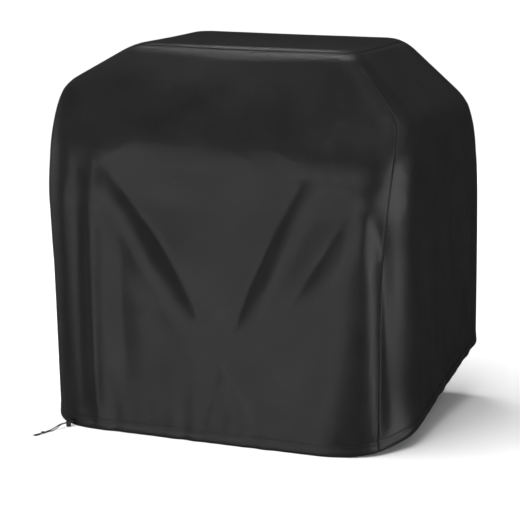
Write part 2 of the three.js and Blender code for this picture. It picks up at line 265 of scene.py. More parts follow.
def binding_material():
    """Black ribbed binding tape."""
    nodes = Nodes("seam_binding", Specular_IOR_Level=0.3, Sheen_Weight=0.2)
    cloth = nodes.place(uv=True)
    nodes.shades(nodes.noise(50.0, cloth), (0.014, 0.015), (0.024, 0.025))
    nodes.set("Roughness", nodes.ramp(nodes.noise(90.0, cloth), 0.68, 0.82))
    nodes.set("Normal", nodes.bump(weave_height(nodes, cloth, TAPE_YARN), 0.00015, 0.9))
    return nodes.material


def thread_material():
    nodes = Nodes("stitch_thread", Specular_IOR_Level=0.5, Sheen_Weight=0.2)
    place = nodes.place()
    nodes.shades(nodes.noise(400.0, place), (0.016, 0.017), (0.036, 0.038))
    nodes.set("Roughness", nodes.ramp(nodes.noise(700.0, place), 0.4, 0.6))
    return nodes.material


def cord_material():
    """Braided black polyester cord: the strands of the braid cross in a diamond pattern along it."""
    nodes = Nodes("drawcord", Specular_IOR_Level=0.4, Sheen_Weight=0.25)
    split = nodes.add("ShaderNodeSeparateXYZ")
    nodes.link(nodes.place(uv=True), split.inputs[0])
    turns = nodes.math("MULTIPLY", split.outputs["X"], BRAID_WAVES * 2 * math.pi)
    along = nodes.math("MULTIPLY", split.outputs["Y"], 2 * math.pi / BRAID_PITCH)
    one = nodes.math("SINE", nodes.math("ADD", turns, along))
    other = nodes.math("SINE", nodes.math("SUBTRACT", turns, along))
    braid = nodes.math("MULTIPLY", one, other)
    nodes.shades(braid, (0.010, 0.011), (0.026, 0.028))
    nodes.set("Roughness", nodes.ramp(braid, 0.75, 0.55))
    nodes.set("Normal", nodes.bump(braid, 0.0003, 0.9))
    return nodes.material


def plastic_material():
    """Moulded black plastic with a fine spark-eroded grain, a little shinier where fingers rub it."""
    nodes = Nodes("lock_plastic", Specular_IOR_Level=0.5)
    place = nodes.place()
    nodes.shades(nodes.noise(300.0, place), (0.010, 0.011), (0.017, 0.018))
    nodes.set("Roughness", nodes.ramp(nodes.noise(120.0, place), 0.34, 0.52))
    nodes.set("Normal", nodes.bump(nodes.noise(2600.0, place, detail=2.0), 0.00006, 0.7))
    return nodes.material


def enamel_material():
    """Black enamelled metal of the eyelets, with a worn spot here and there."""
    nodes = Nodes("eyelet", Metallic=1.0)
    place = nodes.place()
    nodes.shades(nodes.noise(500.0, place), (0.020, 0.021), (0.10, 0.10), 0.55, 0.8)
    nodes.set("Roughness", nodes.ramp(nodes.noise(350.0, place), 0.28, 0.45))
    nodes.set("Normal", nodes.bump(nodes.noise(900.0, place), 0.00004, 0.5))
    return nodes.material


def steel_material():
    nodes = Nodes("spring_steel", Metallic=1.0)
    place = nodes.place()
    nodes.shades(nodes.noise(600.0, place), (0.42, 0.43), (0.60, 0.61))
    nodes.set("Roughness", nodes.ramp(nodes.noise(900.0, place), 0.22, 0.36))
    return nodes.material


def floor_material():
    nodes = Nodes("studio_floor", Specular_IOR_Level=0.2, Roughness=0.6)
    nodes.shades(nodes.noise(1.5, nodes.place()), (0.90, 0.90), (0.93, 0.93))
    return nodes.material


# ---- The cover's surface -------------------------------------------------------------------------


def rise(level, x, y):
    """How far a level's points are above or below its own height."""
    if level is SHOULDER:
        depth, start, end = SHOULDER_DROP
        return -depth * np.clip((x - start) / (end - start), 0, 1)
    if level is not HEM:
        return np.zeros_like(x)
    z, half_width, front, back, radii = HEM
    across = np.clip((x + half_width - LEVEL_STRIP) / (2 * half_width - LEVEL_STRIP), 0, 1)
    along = np.clip((y - front - LEVEL_STRIP) / (back - front - LEVEL_STRIP), 0, 1)
    return HEM_LIFT * across * along


def outline(level, around):
    """Points of a level's rounded rectangle, for an array of places around it."""
    z, half_width, front, back, radii = level
    corners = np.array(
        [
            (-half_width + radii[0], front + radii[0], radii[0]),
            (half_width - radii[1], front + radii[1], radii[1]),
            (half_width - radii[2], back - radii[2], radii[2]),
            (-half_width + radii[3], back - radii[3], radii[3]),
        ]
    )
    side = (np.floor(around) % 4).astype(int)
    share = around - np.floor(around)
    start, end = corners[side], corners[(side + 1) % 4]
    straight = np.clip((share - CORNER_SHARE) / (1 - 2 * CORNER_SHARE), 0, 1)[..., None]
    middle = start + straight * (end - start)
    first = np.clip(share / CORNER_SHARE, 0, 1) - 1
    second = np.clip((share - 1 + CORNER_SHARE) / CORNER_SHARE, 0, 1)
    angle = np.radians(270 + 90 * side + 45 * (first + second))
    x = middle[..., 0] + middle[..., 2] * np.cos(angle)
    y = middle[..., 1] + middle[..., 2] * np.sin(angle)
    return np.stack([x, y, z + rise(level, x, y)], -1)


def plain_surface(around, up):
    """The cover with no folds: the levels joined by straight cloth, with their creases rounded off."""
    levels = np.stack([outline(level, around) for level in LEVELS])
    lengths = np.linalg.norm(np.diff(levels, axis=0), axis=-1)
    starts = np.concatenate([np.zeros_like(lengths[:1]), np.cumsum(lengths, axis=0)])
    below = np.clip(np.floor(up), 0, len(LEVELS) - 2).astype(int)
    start = np.take_along_axis(starts, below[None], 0)[0]
    length = np.take_along_axis(lengths, below[None], 0)[0]
    place = start + (up - below) * length
    reach = np.interp(up, range(len(LEVELS)), ROUNDING)
    points = np.zeros(np.shape(around) + (3,))
    samples = np.linspace(-1, 1, 9)
    for sample in samples:
        here = place + sample * reach
        points += levels[0]
        for k in range(len(LEVELS) - 1):
            low = -np.inf if k == 0 else 0
            part = np.clip(here - starts[k], low, lengths[k]) / lengths[k]
            points += part[..., None] * (levels[k + 1] - levels[k])
    return points / len(samples)


def girth_table():
    """Distance round the waist at evenly spaced places around it, with 0 at the middle of the front."""
    around = np.linspace(0, 4, 2001)
    points = outline(WAIST, around % 4)
    steps = np.linalg.norm(np.diff(points, axis=0), axis=1)
    girth = np.concatenate([[0], np.cumsum(steps)])
    return around, girth - np.interp(0.5, around, girth), girth[-1]


GIRTH_PLACES, GIRTH, WHOLE_GIRTH = girth_table()

# Folds: depth (a valley is positive, a ridge negative), width to the left and to the right of the line that
# it follows, and that line from its top, as distance round the waist from the middle of the front and height.
FOLDS = (
    (0.027, (0.025, 0.200), ((-0.290, 0.720), (-0.260, 0.676), (-0.140, 0.508), (0.006, 0.300))),
    (0.029, (0.200, 0.028), ((0.250, 0.715), (0.226, 0.675), (0.156, 0.521), (0.092, 0.345), (0.078, 0.285))),
    (0.021, (0.110, 0.030), ((0.385, 0.665), (0.325, 0.526), (0.240, 0.375))),
    (0.024, (0.026, 0.060), ((0.410, 0.655), (0.450, 0.605), (0.480, 0.500), (0.492, 0.335), (0.508, 0.050))),
    (-0.008, (0.026, 0.026), ((0.420, 0.660), (0.432, 0.560), (0.455, 0.380), (0.472, 0.050))),
    (-0.009, (0.020, 0.020), ((-0.310, 0.760), (-0.327, 0.678), (-0.348, 0.348), (-0.369, 0.000))),
    (0.010, (0.016, 0.016), ((-0.370, 0.720), (-0.379, 0.661), (-0.402, 0.344), (-0.409, 0.050))),
    (0.007, (0.026, 0.026), ((-0.255, 0.600), (-0.265, 0.355), (-0.263, 0.100))),
    (0.012, (0.026, 0.026), ((0.940, 0.780), (0.905, 0.560), (0.878, 0.280))),
    (0.010, (0.030, 0.030), ((0.610, 0.680), (0.640, 0.450), (0.660, 0.160))),
    (0.009, (0.026, 0.026), ((0.760, 0.560), (0.740, 0.330), (0.755, 0.080))),
    (-0.007, (0.026, 0.026), ((0.985, 0.700), (1.000, 0.420), (0.995, 0.060))),
    (0.014, (0.026, 0.026), ((1.250, 0.720), (1.340, 0.520), (1.420, 0.300))),
    (0.011, (0.030, 0.030), ((1.560, 0.620), (1.590, 0.360), (1.575, 0.060))),
    (0.013, (0.027, 0.027), ((-1.180, 0.730), (-1.290, 0.520), (-1.370, 0.250))),
    (-0.008, (0.024, 0.024), ((-1.090, 0.700), (-1.100, 0.350), (-1.110, 0.020))),
    (0.011, (0.027, 0.027), ((-0.560, 0.690), (-0.640, 0.480), (-0.690, 0.220))),
    (0.012, (0.026, 0.026), ((-0.990, 0.710), (-0.930, 0.470), (-0.880, 0.200))),
    (-0.007, (0.026, 0.026), ((-0.790, 0.600), (-0.800, 0.320), (-0.790, 0.020))),
)

FOLD_BOTTOM = 0.012  # a valley's bottom is rounded over about this width
RIDGE_SHARE = 0.2  # height of the ridges beside a valley, as a share of its depth
HEM_HOLD = 0.3  # share of a fold's depth that is left at the hem
HEM_HOLD_HEIGHT = 0.075  # and the height over which the rest comes back
SLACK_DEPTH = 0.0026
SLACK_ABOVE_WAIST = 0.15  # share of the slack above the waist, where the cloth is drawn tight
HEM_RIPPLE = 0.0007
PUCKER_GROOVE = (0.0006, 0.006)  # depth and half width of the groove along a seam
PUCKER_RIPPLE = (0.0004, 0.019, 0.012)  # height, pitch and reach of the ripples across it
FADE = (3.2, 0.4)  # folds end at this place, just inside the top panel's edge, and are whole this much below


def fold_depth(girth, height, depth, widths, line):
    """How deep one fold is at each point: a valley with a low ridge along both sides, fading at its ends."""
    offset = (girth - line[0][0] + WHOLE_GIRTH / 2) % WHOLE_GIRTH - WHOLE_GIRTH / 2
    path = np.array(line) - (line[0][0], 0)
    steps = np.linalg.norm(np.diff(path, axis=0), axis=1)
    nearest = np.full(np.shape(girth), np.inf)
    share = np.zeros(np.shape(girth))
    turn = np.zeros(np.shape(girth))
    for k, (a, b) in enumerate(zip(path, path[1:])):
        along = ((offset - a[0]) * (b[0] - a[0]) + (height - a[1]) * (b[1] - a[1])) / steps[k] ** 2
        along = np.clip(along, 0, 1)
        distance = np.hypot(offset - a[0] - along * (b[0] - a[0]), height - a[1] - along * (b[1] - a[1]))
        closer = distance < nearest
        aside = (b[0] - a[0]) * (height - a[1]) - (b[1] - a[1]) * (offset - a[0])
        turn = np.where(closer, aside / steps[k], turn)
        nearest = np.where(closer, distance, nearest)
        share = np.where(closer, (steps[:k].sum() + along * steps[k]) / steps.sum(), share)
    ends = np.sin(np.pi * np.clip(0.02 + 0.96 * share, 0, 1)) ** 0.8
    if line[-1][1] < 0.1:
        ends = np.where(share > 0.5, 1.0, ends)
    width = widths[0] + (widths[1] - widths[0]) * (0.5 + 0.5 * np.tanh(turn / FOLD_BOTTOM))
    if depth < 0:
        return depth * ends * np.exp(-((nearest / width) ** 2))
    valley = np.exp(-(np.hypot(nearest, FOLD_BOTTOM) - FOLD_BOTTOM) / width)
    ridges = np.exp(-(((nearest - 2.6 * width) / (1.3 * width)) ** 2))
    return depth * ends * (valley - RIDGE_SHARE * ridges)


def slack(girth, height):
    """Broad unevenness of loose cloth, the same each run: a few long waves and shorter ones near the hem."""
    random = np.random.RandomState(7)
    total = np.zeros(np.shape(girth))
    for waves in (3, 5, 8, 11):
        phase, lean = random.uniform(0, 2 * np.pi), random.uniform(-3, 3)
        total += np.sin(2 * np.pi * waves * girth / WHOLE_GIRTH + lean * height + phase) / waves**0.5
    below_waist = 1 / (1 + np.exp((height - 0.62) / 0.06))
    ripples = np.zeros(np.shape(girth))
    for waves in (29, 41, 53):
        phase = random.uniform(0, 2 * np.pi)
        ripples += np.sin(2 * np.pi * waves * girth / WHOLE_GIRTH + phase)
    near_hem = np.exp(-np.clip(height, 0, None) / 0.07)
    share = SLACK_ABOVE_WAIST + (1 - SLACK_ABOVE_WAIST) * below_waist
    return SLACK_DEPTH * total * share + HEM_RIPPLE * ripples * near_hem


def puckers(around, up, height):
    """Small gathers where a seam draws the cloth in: a groove along the seam with ripples across it."""
    to_seam = np.abs(around - np.round(around)) * 0.9
    depth, half_width = PUCKER_GROOVE
    groove = -depth * np.exp(-((to_seam / half_width) ** 2))
    crest, pitch, reach = PUCKER_RIPPLE
    ripples = crest * np.sin(2 * np.pi * height / pitch) * np.exp(-to_seam / reach)
    return (groove + ripples) * np.clip((3 - up) / 0.2, 0, 1)


def surface(around, up, out=0.0):
    """Points on the folded cover, and that far outside it."""
    around, up = np.broadcast_arrays(np.asarray(around, float), np.asarray(up, float))
    points = plain_surface(around, up)
    step = 1e-3
    sideways = plain_surface(around + step, up) - plain_surface(around - step, up)
    upwards = plain_surface(around, up + step) - plain_surface(around, up - step)
    normal = np.cross(sideways, upwards)
    normal /= np.linalg.norm(normal, axis=-1, keepdims=True)
    girth = np.interp(around % 4, GIRTH_PLACES, GIRTH)
    height = np.where(up < 1, up * WAIST[0], points[..., 2])
    move = slack(girth, height) + puckers(around, up, height)
    above_hem = 1 - np.exp(-((np.clip(height, 0, None) / HEM_HOLD_HEIGHT) ** 2))
    held = HEM_HOLD + (1 - HEM_HOLD) * above_hem
    for depth, widths, line in FOLDS:
        move -= held * fold_depth(girth, height, depth, widths, line)
    return points + normal * (move * np.clip((FADE[0] - up) / FADE[1], 0, 1) + out)[..., None]


# ---- Mesh helpers --------------------------------------------------------------------------------


def new_object(name, vertices, faces, material, uvs=None):
    mesh = bpy.data.meshes.new(name)
    mesh.from_pydata([tuple(v) for v in vertices], [], faces)
    mesh.materials.append(material)
    mesh.polygons.foreach_set("use_smooth", [True] * len(mesh.polygons))
    if uvs is not None:
        layer = mesh.uv_layers.new(name="UVMap")
        corners = np.empty(len(mesh.loops), dtype=np.int32)
        mesh.loops.foreach_get("vertex_index", corners)
        layer.data.foreach_set("uv", np.asarray(uvs, dtype=np.float32)[corners].ravel())
    mesh.update()
    piece = bpy.data.objects.new(name, mesh)
    scene.collection.objects.link(piece)
    return piece


def cloth_places(points):
    """Place of each point of a grid on the cloth, in metres: across from its middle column, and up."""
    across = np.cumsum(np.linalg.norm(np.diff(points, axis=1), axis=-1), axis=1)
    across = np.concatenate([np.zeros((len(points), 1)), across], axis=1)
    across -= across[:, [across.shape[1] // 2]]
    middle = points[:, points.shape[1] // 2]
    up = np.concatenate([[0], np.cumsum(np.linalg.norm(np.diff(middle, axis=0), axis=-1))])
    return np.stack([across, np.broadcast_to(up[:, None], across.shape)], -1)


def grid_object(name, points, material):
    """A sheet through a grid of points, its rows going up and its columns anticlockwise, so it faces out."""
    rows, columns = points.shape[:2]
    faces = [
        (r * columns + c, r * columns + c + 1, (r + 1) * columns + c + 1, (r + 1) * columns + c)
        for r in range(rows - 1)
        for c in range(columns - 1)
    ]
    return new_object(name, points.reshape(-1, 3), faces, material, cloth_places(points).reshape(-1, 2))


def thicken(piece, thickness, inside=None):
    """Gives a sheet its thickness inwards, with another material on its inner side if one is given."""
    if inside is not None:
        piece.data.materials.append(inside)
    solid = piece.modifiers.new("thickness", "SOLIDIFY")
    solid.thickness = thickness
    solid.offset = -1
    if inside is not None:
        solid.material_offset = 1
    return piece


def tube(name, path, radius, material, sides=12, closed=False):
    """A round tube along a path, with UVs of turns round it and metres along it."""
    path = np.asarray(path, float)
    before = np.roll(path, 1, axis=0) if closed else np.vstack([path[:1], path[:-1]])
    after = np.roll(path, -1, axis=0) if closed else np.vstack([path[1:], path[-1:]])
    along = after - before
    along /= np.linalg.norm(along, axis=1, keepdims=True)
    sideways = np.cross(along[0], (0.0, 0.0, 1.0))
    rings = []
    for point, direction in zip(path, along):
        sideways = sideways - direction * (sideways @ direction)
        sideways /= np.linalg.norm(sideways)
        upwards = np.cross(sideways, direction)
        angles = 2 * np.pi * np.arange(sides + 1) / sides
        ring = np.outer(np.cos(angles), sideways) + np.outer(np.sin(angles), upwards)
        rings.append(point + radius * ring)
    lengths = np.concatenate([[0], np.cumsum(np.linalg.norm(np.diff(path, axis=0), axis=1))])
    uvs = [(k / sides, length) for length in lengths for k in range(sides + 1)]
    wide = sides + 1
    faces = [
        (r * wide + k, r * wide + k + 1, (r + 1) * wide + k + 1, (r + 1) * wide + k)
        for r in range(len(path) - 1)
        for k in range(sides)
    ]
    last = (len(path) - 1) * wide
    if closed:
        faces += [(last + k, last + k + 1, k + 1, k) for k in range(sides)]
    else:
        faces.append(tuple(range(sides - 1, -1, -1)))
        faces.append(tuple(range(last, last + sides)))
    piece = new_object(name, np.concatenate(rings), faces, material, uvs)
    weld = bmesh.new()
    weld.from_mesh(piece.data)
    bmesh.ops.remove_doubles(weld, verts=weld.verts, dist=1e-6)
    bmesh.ops.recalc_face_normals(weld, faces=weld.faces)
    weld.to_mesh(piece.data)
    weld.free()
    return piece


def smooth_path(points, step):
    """A smooth curve through the points, as a Catmull-Rom spline, with a point about every step."""
    points = np.asarray(points, float)
    ends = np.vstack([2 * points[0] - points[1], points, 2 * points[-1] - points[-2]])
    path = []
    for p0, p1, p2, p3 in zip(ends, ends[1:], ends[2:], ends[3:]):
        count = max(2, round(np.linalg.norm(p2 - p1) / step))
        for t in np.arange(count) / count:
            bend = 2 * p1 + (p2 - p0) * t + (2 * p0 - 5 * p1 + 4 * p2 - p3) * t**2
            path.append(0.5 * (bend + (3 * p1 - p0 - 3 * p2 + p3) * t**3))
    path.append(points[-1])
    return np.array(path)


def turned(name, profile, material, segments=48):
    """A solid of revolution about +Z from a profile of (radius, height), closed on the axis or on itself."""
    mesh = bmesh.new()
    ring = [mesh.verts.new((radius, 0, height)) for radius, height in profile]
    edges = [mesh.edges.new((a, b)) for a, b in zip(ring, ring[1:])]
    if profile[0][0] > 0:
        edges.append(mesh.edges.new((ring[-1], ring[0])))
    bmesh.ops.spin(mesh, geom=ring + edges, cent=(0, 0, 0), axis=(0, 0, 1), angle=2 * math.pi, steps=segments)
    bmesh.ops.remove_doubles(mesh, verts=mesh.verts, dist=1e-6)
    bmesh.ops.recalc_face_normals(mesh, faces=mesh.faces)
    data = bpy.data.meshes.new(name)
    mesh.to_mesh(data)
    mesh.free()
    data.materials.append(material)
    piece = bpy.data.objects.new(name, data)
    scene.collection.objects.link(piece)
    return piece


def apply_modifiers(piece):
    graph = bpy.context.evaluated_depsgraph_get()
    made = bpy.data.meshes.new_from_object(piece.evaluated_get(graph), depsgraph=graph)
    piece.modifiers.clear()
    piece.data = made


def round_edges(piece, width, angle=math.radians(35)):
    bevel = piece.modifiers.new("edges", "BEVEL")
    bevel.width = width
    bevel.segments = 2
    bevel.angle_limit = angle
    apply_modifiers(piece)
    piece.data.polygons.foreach_set("use_smooth", [True] * len(piece.data.polygons))
    piece.data.set_sharp_from_angle(angle=angle)


def cut_away(piece, tool):
    knife = piece.modifiers.new("cut", "BOOLEAN")
    knife.operation = "DIFFERENCE"
    knife.object = tool
    apply_modifiers(piece)
    bpy.data.objects.remove(tool)


# ---- Fabric pieces -------------------------------------------------------------------------------

SIDES = ("front", "right", "back", "left")
CORNERS = ("front_left", "front_right", "back_right", "back_left")
TAPE = 0.0006  # thickness of the binding tape
TAPE_CROWN = 0.0012  # how far it stands up in its middle, over the seam allowance
WIDE_COLUMNS = 170  # grid columns of the front and back panels
NARROW_COLUMNS = 124  # and of the right and left ones


def panel_places(side):
    """Places across a panel, closer together beside its seams."""
    even = np.linspace(0, 1, WIDE_COLUMNS if side % 2 == 0 else NARROW_COLUMNS)
    eased = even - 0.055 * np.sin(4 * np.pi * even) / 2
    return side + np.clip(eased, 0, 1)


def panel_rows():
    lower = np.linspace(FOOT_UP, 1, 96)[:-1]
    middle = np.linspace(1, 2, 30)[:-1]
    upper = np.linspace(2, 3, 26)
    return np.concatenate([lower, middle, upper])


def make_panel(side, fabric, lining):
    name = SIDES[side]
    around = panel_places(side)
    points = surface(around[None, :], panel_rows()[:, None])
    piece = thicken(grid_object(f"{name}_panel_cloth", points, fabric), CLOTH, lining)
    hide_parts(f"{name}_panel")
    return piece


def make_top_panel(fabric, lining):
    """The flat top: rings that follow its edge, shrinking to the middle, where the cloth sags a little."""
    around = np.concatenate([panel_places(side)[:-1] for side in range(4)])
    rim = np.linspace(3, 3.5, 12)
    rings = [surface(around, np.full_like(around, up)) for up in rim]
    centre = np.array([0.0, (TOP[2] + TOP[3]) / 2, TOP[0]])
    edge = rings[-1]
    for share in np.linspace(0, 1, 40)[1:-1]:
        ring = edge + (centre - edge) * share
        x, y = ring[:, 0], ring[:, 1]
        ring[:, 2] += 0.0012 * np.sin(9 * x + 2) * np.sin(13 * y + 1) * share - 0.0015 * share
        rings.append(ring)
    points = np.array(rings)
    rows, columns = points.shape[:2]
    faces = []
    for r in range(rows - 1):
        low, high = r * columns, (r + 1) * columns
        for c in range(columns):
            after = (c + 1) % columns
            faces.append((low + c, low + after, high + after, high + c))
    faces.append(tuple((rows - 1) * columns + c for c in range(columns)))
    flat = points.reshape(-1, 3)
    piece = thicken(new_object("top_panel_cloth", flat, faces, fabric, flat[:, :2]), CLOTH, lining)
    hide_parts("top_panel")
    return piece


# The hem casing's section, as distance outside the cloth and height: down the outside, round the cord and
# up inside.
HEM_SECTION = (
    (0.0004, 0.0300),
    (0.0004, 0.0260),
    (0.0005, 0.0200),
    (0.0011, 0.0150),
    (0.0014, 0.0105),
    (0.0012, 0.0055),
    (0.0002, 0.0018),
    (-0.0020, 0.0002),
    (-0.0050, 0.0000),
    (-0.0076, 0.0012),
    (-0.0092, 0.0050),
    (-0.0094, 0.0110),
    (-0.0080, 0.0180),
    (-0.0050, 0.0250),
    (-0.0032, 0.0300),
)


def make_hem(side, fabric):
    name = SIDES[side]
    around = panel_places(side)
    section = smooth_path(HEM_SECTION, 0.0022)[::-1]
    rows = [surface(around, np.full_like(around, z / WAIST[0]), out + CLOTH) for out, z in section]
    piece = thicken(grid_object(f"{name}_hem_cloth", np.array(rows), fabric), CLOTH)
    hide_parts(f"{name}_hem_casing")
    return piece


def make_corner_binding(corner, tape):
    """Binding tape on the inside of a corner seam, folded over the seam allowance."""
    across = np.linspace(-1, 1, 9)
    up = np.linspace(0.05, 2.93, 150)
    width = np.interp(up, (0, 2, 3), (0.0125, 0.018, 0.030))
    around = (corner + across[None, :] * width[:, None]) % 4
    crown = TAPE_CROWN * (1 - across**2)
    points = surface(around, up[:, None], -CLOTH - 0.0008 - crown[None, :])
    piece = thicken(grid_object(f"{CORNERS[corner]}_binding_tape", points, tape), TAPE)
    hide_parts(f"{CORNERS[corner]}_seam_binding")
    return piece


def make_top_binding(tape):
    """Binding tape round the inside of the top seam."""
    around = np.linspace(0, 4, 401) % 4
    up = np.linspace(2.94, 3.07, 9)
    crown = TAPE_CROWN * (1 - np.linspace(-1, 1, 9) ** 2)
    points = surface(around[None, :], up[:, None], -CLOTH - 0.0026 - crown[:, None])
    piece = thicken(grid_object("top_binding_tape", points, tape), TAPE)
    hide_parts("top_seam_binding")
    return piece


# ---- Stitching -----------------------------------------------------------------------------------

STITCH_PITCH = 0.0045
STITCH_LENGTH = 0.0034
STITCH_RADIUS = 0.00032
STITCH_LIFT = 0.0002  # stitches are placed from a line this far outside the cloth, and let down by as much
STITCH_SIDES = 5
STITCH_SHARES = ((0.0, 0.0), (0.16, 0.8), (0.5, 1.0), (0.84, 0.8), (1.0, 0.0))  # place along it, and how fat


def place_along(line, lengths, distance):
    return np.array([np.interp(distance, lengths, line[:, k]) for k in range(3)])


def stitch_row(around, up):
    """Vertices and faces of a row of stitches along a line, each a small spindle of thread."""
    line = surface(around, up, STITCH_LIFT)
    raised = surface(around, up, 0.0012)
    lengths = np.concatenate([[0], np.cumsum(np.linalg.norm(np.diff(line, axis=0), axis=1))])
    vertices, faces = [], []
    for start in np.arange(0, lengths[-1] - STITCH_PITCH, STITCH_PITCH):
        a = place_along(line, lengths, start)
        b = place_along(line, lengths, start + STITCH_LENGTH)
        upwards = place_along(raised, lengths, start) - a
        upwards /= np.linalg.norm(upwards)
        sideways = np.cross(b - a, upwards)
        sideways /= np.linalg.norm(sideways)
        first = len(vertices)
        for share, fat in STITCH_SHARES:
            centre = a + (b - a) * share + upwards * (STITCH_RADIUS * fat - STITCH_LIFT)
            for k in range(STITCH_SIDES):
                angle = 2 * math.pi * k / STITCH_SIDES
                ring = math.cos(angle) * sideways + math.sin(angle) * upwards
                vertices.append(centre + ring * STITCH_RADIUS * max(fat, 0.15))
        for r in range(len(STITCH_SHARES) - 1):
            low, high = first + r * STITCH_SIDES, first + (r + 1) * STITCH_SIDES
            for k in range(STITCH_SIDES):
                after = (k + 1) % STITCH_SIDES
                faces.append((low + k, low + after, high + after, high + k))
        last = first + (len(STITCH_SHARES) - 1) * STITCH_SIDES
        faces.append(tuple(first + k for k in reversed(range(STITCH_SIDES))))
        faces.append(tuple(last + k for k in range(STITCH_SIDES)))
    return vertices, faces


def make_stitching(name, lines, thread):
    vertices, faces = [], []
    for around, up in lines:
        more, more_faces = stitch_row(around, up)
        faces += [tuple(i + len(vertices) for i in face) for face in more_faces]
        vertices += more
    piece = new_object(name, vertices, faces, thread)
    return piece


def seam_lines(corner):
    """Two rows of topstitching, one on each side of a corner seam."""
    up = np.linspace(0.06, 2.97, 500)
    return [((corner + side * np.interp(up, (0, 2, 3), (0.0062, 0.0075, 0.012))) % 4, up) for side in (-1, 1)]


def top_lines():
    around = np.linspace(0, 4, 900) % 4
    return [(around, np.full_like(around, 2.955)), (around, np.full_like(around, 3.045))]


def hem_lines(side):
    around = side + np.linspace(0.004, 0.996, 400)
    return [(around, np.full_like(around, 0.0262 / WAIST[0]))]


# ---- Drawcord, eyelets and knot ------------------------------------------------------------------


def exit_frame():
    """Middle of the facet that the cord leaves by, the way out of the hem and the way across it."""
    out = Vector((math.cos(EXIT_ANGLE), math.sin(EXIT_ANGLE), 0))
    across = Vector((-out.y, out.x, 0))
    share = CORD_HEIGHT / WAIST[0]
    left, front, radius = (
        low + share * (high - low)
        for low, high in ((-HEM[1], -WAIST[1]), (HEM[2], WAIST[2]), (HEM[4][0], WAIST[4][0]))
    )
    half_facet = math.radians(7.5)  # each corner of the solid has six facets to its quarter turn
    centre = Vector((left + radius, front + radius, 0)) + out * radius * math.cos(half_facet)
    return centre, out, across


EXIT_CENTRE, EXIT_OUT, EXIT_ACROSS = exit_frame()


def exit_point(out, across, z):
    point = EXIT_CENTRE + EXIT_OUT * out + EXIT_ACROSS * across
    return Vector((point.x, point.y, z))


def bow(out):
    share = min(max((out - BOW_START) / (BOW_END - BOW_START), 0), 1)
    return BOW * share * share


def route_points(route, side):
    return [exit_point(out, side * across + bow(out), z) for out, across, z in route]


def make_strand(name, side, braid):
    path = smooth_path(route_points(STRAND_ROUTE, side), 0.0012)
    piece = tube(f"{name}_strand_braid", path, CORD_RADIUS, braid)
    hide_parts(f"{name}_cord_strand")
    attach(piece, "cover")
    return piece, path


def make_tail(name, side, braid):
    """A short end past the knot, cut off square."""
    path = smooth_path(route_points(TAIL_ROUTE, side), 0.0010)
    piece = tube(f"{name}_tail_braid", path, CORD_RADIUS, braid)
    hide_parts(f"{name}_cord_tail")
    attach(piece, "cover")
    return piece


def make_knot(braid):
    """The knot that joins the strands, as a small closed trefoil of cord."""
    angle = np.linspace(0, 2 * np.pi, 97)[:-1]
    along = 0.0021 * np.sin(angle) + 0.0026 * np.sin(2 * angle)
    across = 0.0012 * np.cos(angle) - 0.0019 * np.cos(2 * angle)
    height = 0.0018 * -np.sin(3 * angle)
    middle = exit_point(KNOT_REACH, bow(KNOT_REACH), KNOT_HEIGHT)
    path = [
        middle + EXIT_OUT * a + EXIT_ACROSS * b + Vector((0, 0, c)) for a, b, c in zip(along, across, height)
    ]
    piece = tube("cord_knot_braid", np.array(path), CORD_RADIUS, braid, closed=True)
    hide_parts("cord_knot")
    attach(piece, "cover")
    return piece


def upright_at(out):
    """Places an upright piece, made about +Z with +X across the cord, on the cord's line."""
    turn = Matrix((EXIT_ACROSS, -EXIT_OUT, (0, 0, 1))).transposed().to_4x4()
    return Matrix.Translation(exit_point(out, 0, 0)) @ turn


def facing_out(across):
    turn = Matrix((EXIT_ACROSS, (0, 0, 1), EXIT_OUT)).transposed().to_4x4()
    return Matrix.Translation(exit_point(0, across, CORD_HEIGHT)) @ turn


def make_eyelet(name, across, enamel):
    """A rolled flange with a short barrel that goes through the hem."""
    profile = [
        (0.0024, -0.0008),
        (0.0030, -0.0008),
        (0.0030, 0.0022),
        (0.0044, 0.0022),
        (0.0048, 0.0025),
        (0.0048, 0.0028),
        (0.0044, 0.0032),
        (0.0037, 0.0034),
        (0.0030, 0.0032),
        (0.0026, 0.0028),
        (0.0024, 0.0022),
    ]
    piece = turned(f"{name}_eyelet_ring", profile, enamel)
    piece.data.transform(facing_out(across))
    piece.data.polygons.foreach_set("use_smooth", [True] * len(piece.data.polygons))
    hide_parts(f"{name}_eyelet")
    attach(piece, "cover")
    return piece


# ---- Cord lock -----------------------------------------------------------------------------------

LOCK_RADIUS = 0.0065
CORD_SLOT = (0.0035, 0.02, 0.0019)  # half width, half length and half height of the body's cord slot

def box_tool(low, high):
    """A temporary box for a cut."""
    mesh = bmesh.new()
    bmesh.ops.create_cube(mesh, size=1)
    low, high = Vector(low), Vector(high)
    for vertex in mesh.verts:
        vertex.co = Vector([(a + b) / 2 + c * (b - a) for a, b, c in zip(low, high, vertex.co)])
    data = bpy.data.meshes.new("cut_tool")
    mesh.to_mesh(data)
    mesh.free()
    tool = bpy.data.objects.new("cut_tool", data)
    scene.collection.objects.link(tool)
    return tool


def ribbed(piece, low, high, ribs, depth, radius):
    """Presses upright grip grooves into a turned piece between two heights."""
    for vertex in piece.data.vertices:
        distance = math.hypot(vertex.co.x, vertex.co.y)
        if distance > 0.9 * radius and low < vertex.co.z < high:
            angle = math.atan2(vertex.co.y, vertex.co.x)
            shrink = 1 - depth / distance * (0.5 - 0.5 * math.cos(ribs * angle)) ** 2
            vertex.co.x *= shrink
            vertex.co.y *= shrink


